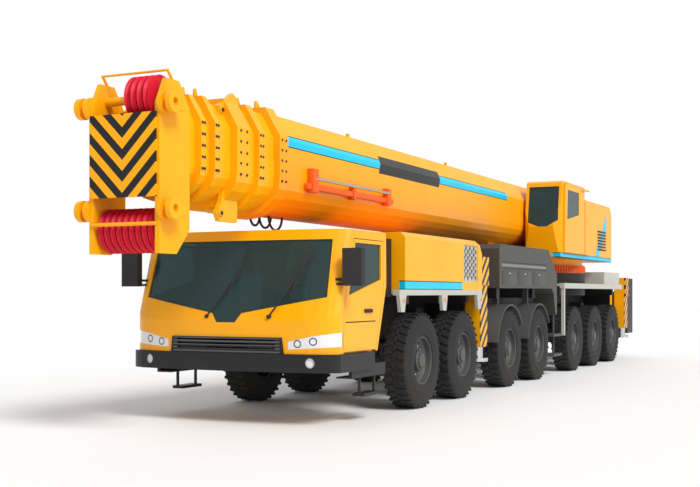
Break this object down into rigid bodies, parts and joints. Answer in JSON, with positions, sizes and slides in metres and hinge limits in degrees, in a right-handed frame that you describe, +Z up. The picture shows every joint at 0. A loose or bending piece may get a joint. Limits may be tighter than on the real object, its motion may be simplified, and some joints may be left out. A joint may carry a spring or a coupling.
{
  "type": "mobile crane",
  "caption": "All-terrain truck crane with a full-width cab, slewing upper works, luffing telescopic boom and sliding outriggers.",
  "frame": {"origin": "on the ground below the middle of the overall box", "axes": "+X forward along the carrier, +Y to the crane's left, +Z up"},
  "size_m": [19.82, 3.56, 4.05],
  "materials": {
    "frame_black": "satin",
    "cast_iron": "rough",
    "crane_yellow": "gloss",
    "tinted_glass": "clear",
    "trim_grey": "matte",
    "black_plastic": "satin",
    "lamp_lens": "gloss",
    "rail_grey": "satin",
    "panel_grey": "satin",
    "ring_orange": "satin",
    "sheave_red": "satin",
    "bright_rod": "polished",
    "tyre": "matte"
  },
  "bodies": {
    "carrier": {"chassis_frame": "frame_black", "axle_beams": "frame_black", "engine_block": "cast_iron", "cab_shell": "crane_yellow", "cab_glass": "tinted_glass", "cab_interior": "trim_grey", "front_bumper": "black_plastic", "lamps": "lamp_lens", "mirrors": "black_plastic", "engine_hood": "crane_yellow", "decks_and_fenders": "rail_grey", "side_panels": "panel_grey", "slew_ring": "ring_orange"},
    "cab_door_left": {"cab_door_left": "crane_yellow", "cab_door_glass_left": "tinted_glass"},
    "cab_door_right": {"cab_door_right": "crane_yellow", "cab_door_glass_right": "tinted_glass"},
    "knuckle_1_left": {"knuckle_1_left": "frame_black"},
    "knuckle_1_right": {"knuckle_1_right": "frame_black"},
    "knuckle_2_left": {"knuckle_2_left": "frame_black"},
    "knuckle_2_right": {"knuckle_2_right": "frame_black"},
    "wheel_1_left": {"wheel_1_left": "tyre"},
    "wheel_1_right": {"wheel_1_right": "tyre"},
    "wheel_2_left": {"wheel_2_left": "tyre"},
    "wheel_2_right": {"wheel_2_right": "tyre"},
    "wheel_3_left": {"wheel_3_left": "tyre"},
    "wheel_3_right": {"wheel_3_right": "tyre"},
    "wheel_4_left": {"wheel_4_left": "tyre"},
    "wheel_4_right": {"wheel_4_right": "tyre"},
    "wheel_5_left": {"wheel_5_left": "tyre"},
    "wheel_5_right": {"wheel_5_right": "tyre"},
    "wheel_6_left": {"wheel_6_left": "tyre"},
    "wheel_6_right": {"wheel_6_right": "tyre"},
    "wheel_7_left": {"wheel_7_left": "tyre"},
    "wheel_7_right": {"wheel_7_right": "tyre"},
    "beam_front_left": {"beam_front_left": "crane_yellow"},
    "jack_front_left": {"jack_front_left": "bright_rod"},
    "beam_front_right": {"beam_front_right": "crane_yellow"},
    "jack_front_right": {"jack_front_right": "bright_rod"},
    "beam_rear_left": {"beam_rear_left": "crane_yellow"},
    "jack_rear_left": {"jack_rear_left": "bright_rod"},
    "beam_rear_right": {"beam_rear_right": "crane_yellow"},
    "jack_rear_right": {"jack_rear_right": "bright_rod"},
    "upper_works": {"turntable": "panel_grey", "rear_hood": "crane_yellow", "operator_cab": "crane_yellow", "operator_glass": "tinted_glass", "operator_seat": "trim_grey"},
    "operator_door": {"operator_door": "crane_yellow", "operator_door_glass": "tinted_glass"},
    "boom_base": {"boom_base": "crane_yellow"},
    "boom_section_2": {"boom_section_2": "crane_yellow"},
    "boom_section_3": {"boom_section_3": "crane_yellow"},
    "boom_section_4": {"boom_section_4": "crane_yellow"},
    "boom_section_5": {"boom_section_5": "crane_yellow"},
    "boom_head": {"boom_head": "crane_yellow"},
    "lower_sheaves": {"lower_sheaves": "sheave_red"},
    "upper_sheave": {"upper_sheave": "sheave_red"},
    "luff_barrel": {"luff_barrel": "crane_yellow"},
    "luff_rod": {"luff_rod": "bright_rod"}
  },
  "joints": [
    {"name": "slew", "type": "hinge", "parent": "carrier", "child": "upper_works", "pos_m": [-5.4, 0, 2.28], "axis": [0, 0, 1], "continuous": true},
    {"name": "luff", "type": "hinge", "parent": "upper_works", "child": "boom_base", "pos_m": [-7.35, 0, 3.45], "axis": [0, -1, 0], "range_deg": [0, 82]},
    {"name": "telescope_2", "type": "slide", "parent": "boom_base", "child": "boom_section_2", "axis": [1, 0, 0], "range_m": [0, 11]},
    {"name": "telescope_3", "type": "slide", "parent": "boom_section_2", "child": "boom_section_3", "axis": [1, 0, 0], "range_m": [0, 11]},
    {"name": "telescope_4", "type": "slide", "parent": "boom_section_3", "child": "boom_section_4", "axis": [1, 0, 0], "range_m": [0, 11]},
    {"name": "telescope_5", "type": "slide", "parent": "boom_section_4", "child": "boom_section_5", "axis": [1, 0, 0], "range_m": [0, 11]},
    {"name": "telescope_6", "type": "slide", "parent": "boom_section_5", "child": "boom_head", "axis": [1, 0, 0], "range_m": [0, 11]},
    {"name": "luff_barrel_turn", "type": "hinge", "parent": "upper_works", "child": "luff_barrel", "pos_m": [-5.75, 0, 2.48], "axis": [0, -1, 0], "range_deg": [0, 90]},
    {"name": "luff_rod_stroke", "type": "slide", "parent": "luff_barrel", "child": "luff_rod", "axis": [1, 0, 0], "range_m": [0, 2.4]},
    {"name": "cab_door_left_swing", "type": "hinge", "parent": "carrier", "child": "cab_door_left", "pos_m": [7.428, 1.482, 1.2], "axis": [0, 0, -1], "range_deg": [0, 70]},
    {"name": "cab_door_right_swing", "type": "hinge", "parent": "carrier", "child": "cab_door_right", "pos_m": [7.428, -1.482, 1.2], "axis": [0, 0, 1], "range_deg": [0, 70]},
    {"name": "operator_door_slide", "type": "slide", "parent": "upper_works", "child": "operator_door", "axis": [-1, 0, 0], "range_m": [0, 0.75]},
    {"name": "beam_front_left_slide", "type": "slide", "parent": "carrier", "child": "beam_front_left", "axis": [0, 1, 0], "range_m": [0, 1.9]},
    {"name": "beam_front_right_slide", "type": "slide", "parent": "carrier", "child": "beam_front_right", "axis": [0, -1, 0], "range_m": [0, 1.9]},
    {"name": "beam_rear_left_slide", "type": "slide", "parent": "carrier", "child": "beam_rear_left", "axis": [0, 1, 0], "range_m": [0, 1.9]},
    {"name": "beam_rear_right_slide", "type": "slide", "parent": "carrier", "child": "beam_rear_right", "axis": [0, -1, 0], "range_m": [0, 1.9]},
    {"name": "jack_front_left_stroke", "type": "slide", "parent": "beam_front_left", "child": "jack_front_left", "axis": [0, 0, -1], "range_m": [0, 0.62]},
    {"name": "jack_front_right_stroke", "type": "slide", "parent": "beam_front_right", "child": "jack_front_right", "axis": [0, 0, -1], "range_m": [0, 0.62]},
    {"name": "jack_rear_left_stroke", "type": "slide", "parent": "beam_rear_left", "child": "jack_rear_left", "axis": [0, 0, -1], "range_m": [0, 0.62]},
    {"name": "jack_rear_right_stroke", "type": "slide", "parent": "beam_rear_right", "child": "jack_rear_right", "axis": [0, 0, -1], "range_m": [0, 0.62]},
    {"name": "steer_1_left", "type": "hinge", "parent": "carrier", "child": "knuckle_1_left", "pos_m": [4.85, 0.985, 0.685], "axis": [0, 0, 1], "range_deg": [-28, 28]},
    {"name": "steer_1_right", "type": "hinge", "parent": "carrier", "child": "knuckle_1_right", "pos_m": [4.85, -0.985, 0.685], "axis": [0, 0, 1], "range_deg": [-28, 28]},
    {"name": "steer_2_left", "type": "hinge", "parent": "carrier", "child": "knuckle_2_left", "pos_m": [3.15, 0.985, 0.685], "axis": [0, 0, 1], "range_deg": [-22, 22]},
    {"name": "steer_2_right", "type": "hinge", "parent": "carrier", "child": "knuckle_2_right", "pos_m": [3.15, -0.985, 0.685], "axis": [0, 0, 1], "range_deg": [-22, 22]},
    {"name": "lower_sheaves_spin", "type": "hinge", "parent": "boom_head", "child": "lower_sheaves", "pos_m": [9.58, 0, 2.34], "axis": [0, 1, 0], "continuous": true},
    {"name": "upper_sheave_spin", "type": "hinge", "parent": "boom_head", "child": "upper_sheave", "pos_m": [9.61, 0, 3.79], "axis": [0, 1, 0], "continuous": true},
    {"name": "wheel_1_left_spin", "type": "hinge", "parent": "knuckle_1_left", "child": "wheel_1_left", "pos_m": [4.85, 1.305, 0.685], "axis": [0, 1, 0], "continuous": true},
    {"name": "wheel_1_right_spin", "type": "hinge", "parent": "knuckle_1_right", "child": "wheel_1_right", "pos_m": [4.85, -1.305, 0.685], "axis": [0, 1, 0], "continuous": true},
    {"name": "wheel_2_left_spin", "type": "hinge", "parent": "knuckle_2_left", "child": "wheel_2_left", "pos_m": [3.15, 1.305, 0.685], "axis": [0, 1, 0], "continuous": true},
    {"name": "wheel_2_right_spin", "type": "hinge", "parent": "knuckle_2_right", "child": "wheel_2_right", "pos_m": [3.15, -1.305, 0.685], "axis": [0, 1, 0], "continuous": true},
    {"name": "wheel_3_left_spin", "type": "hinge", "parent": "carrier", "child": "wheel_3_left", "pos_m": [0.75, 1.305, 0.685], "axis": [0, 1, 0], "continuous": true},
    {"name": "wheel_3_right_spin", "type": "hinge", "parent": "carrier", "child": "wheel_3_right", "pos_m": [0.75, -1.305, 0.685], "axis": [0, 1, 0], "continuous": true},
    {"name": "wheel_4_left_spin", "type": "hinge", "parent": "carrier", "child": "wheel_4_left", "pos_m": [-1.05, 1.305, 0.685], "axis": [0, 1, 0], "continuous": true},
    {"name": "wheel_4_right_spin", "type": "hinge", "parent": "carrier", "child": "wheel_4_right", "pos_m": [-1.05, -1.305, 0.685], "axis": [0, 1, 0], "continuous": true},
    {"name": "wheel_5_left_spin", "type": "hinge", "parent": "carrier", "child": "wheel_5_left", "pos_m": [-3.8, 1.305, 0.685], "axis": [0, 1, 0], "continuous": true},
    {"name": "wheel_5_right_spin", "type": "hinge", "parent": "carrier", "child": "wheel_5_right", "pos_m": [-3.8, -1.305, 0.685], "axis": [0, 1, 0], "continuous": true},
    {"name": "wheel_6_left_spin", "type": "hinge", "parent": "carrier", "child": "wheel_6_left", "pos_m": [-5.6, 1.305, 0.685], "axis": [0, 1, 0], "continuous": true},
    {"name": "wheel_6_right_spin", "type": "hinge", "parent": "carrier", "child": "wheel_6_right", "pos_m": [-5.6, -1.305, 0.685], "axis": [0, 1, 0], "continuous": true},
    {"name": "wheel_7_left_spin", "type": "hinge", "parent": "carrier", "child": "wheel_7_left", "pos_m": [-7.4, 1.305, 0.685], "axis": [0, 1, 0], "continuous": true},
    {"name": "wheel_7_right_spin", "type": "hinge", "parent": "carrier", "child": "wheel_7_right", "pos_m": [-7.4, -1.305, 0.685], "axis": [0, 1, 0], "continuous": true}
  ],
  "couplings": [
    {"joint": "telescope_3", "follows": "telescope_2", "ratio": 1},
    {"joint": "telescope_4", "follows": "telescope_2", "ratio": 1},
    {"joint": "telescope_5", "follows": "telescope_2", "ratio": 1},
    {"joint": "telescope_6", "follows": "telescope_2", "ratio": 1},
    {"joint": "luff_barrel_turn", "follows": "luff", "ratio": 1.087},
    {"joint": "luff_rod_stroke", "follows": "luff", "m_per_rad": 1.6662},
    {"joint": "steer_1_right", "follows": "steer_1_left", "ratio": 1},
    {"joint": "steer_2_left", "follows": "steer_1_left", "ratio": 0.77},
    {"joint": "steer_2_right", "follows": "steer_1_left", "ratio": 0.77}
  ]
}
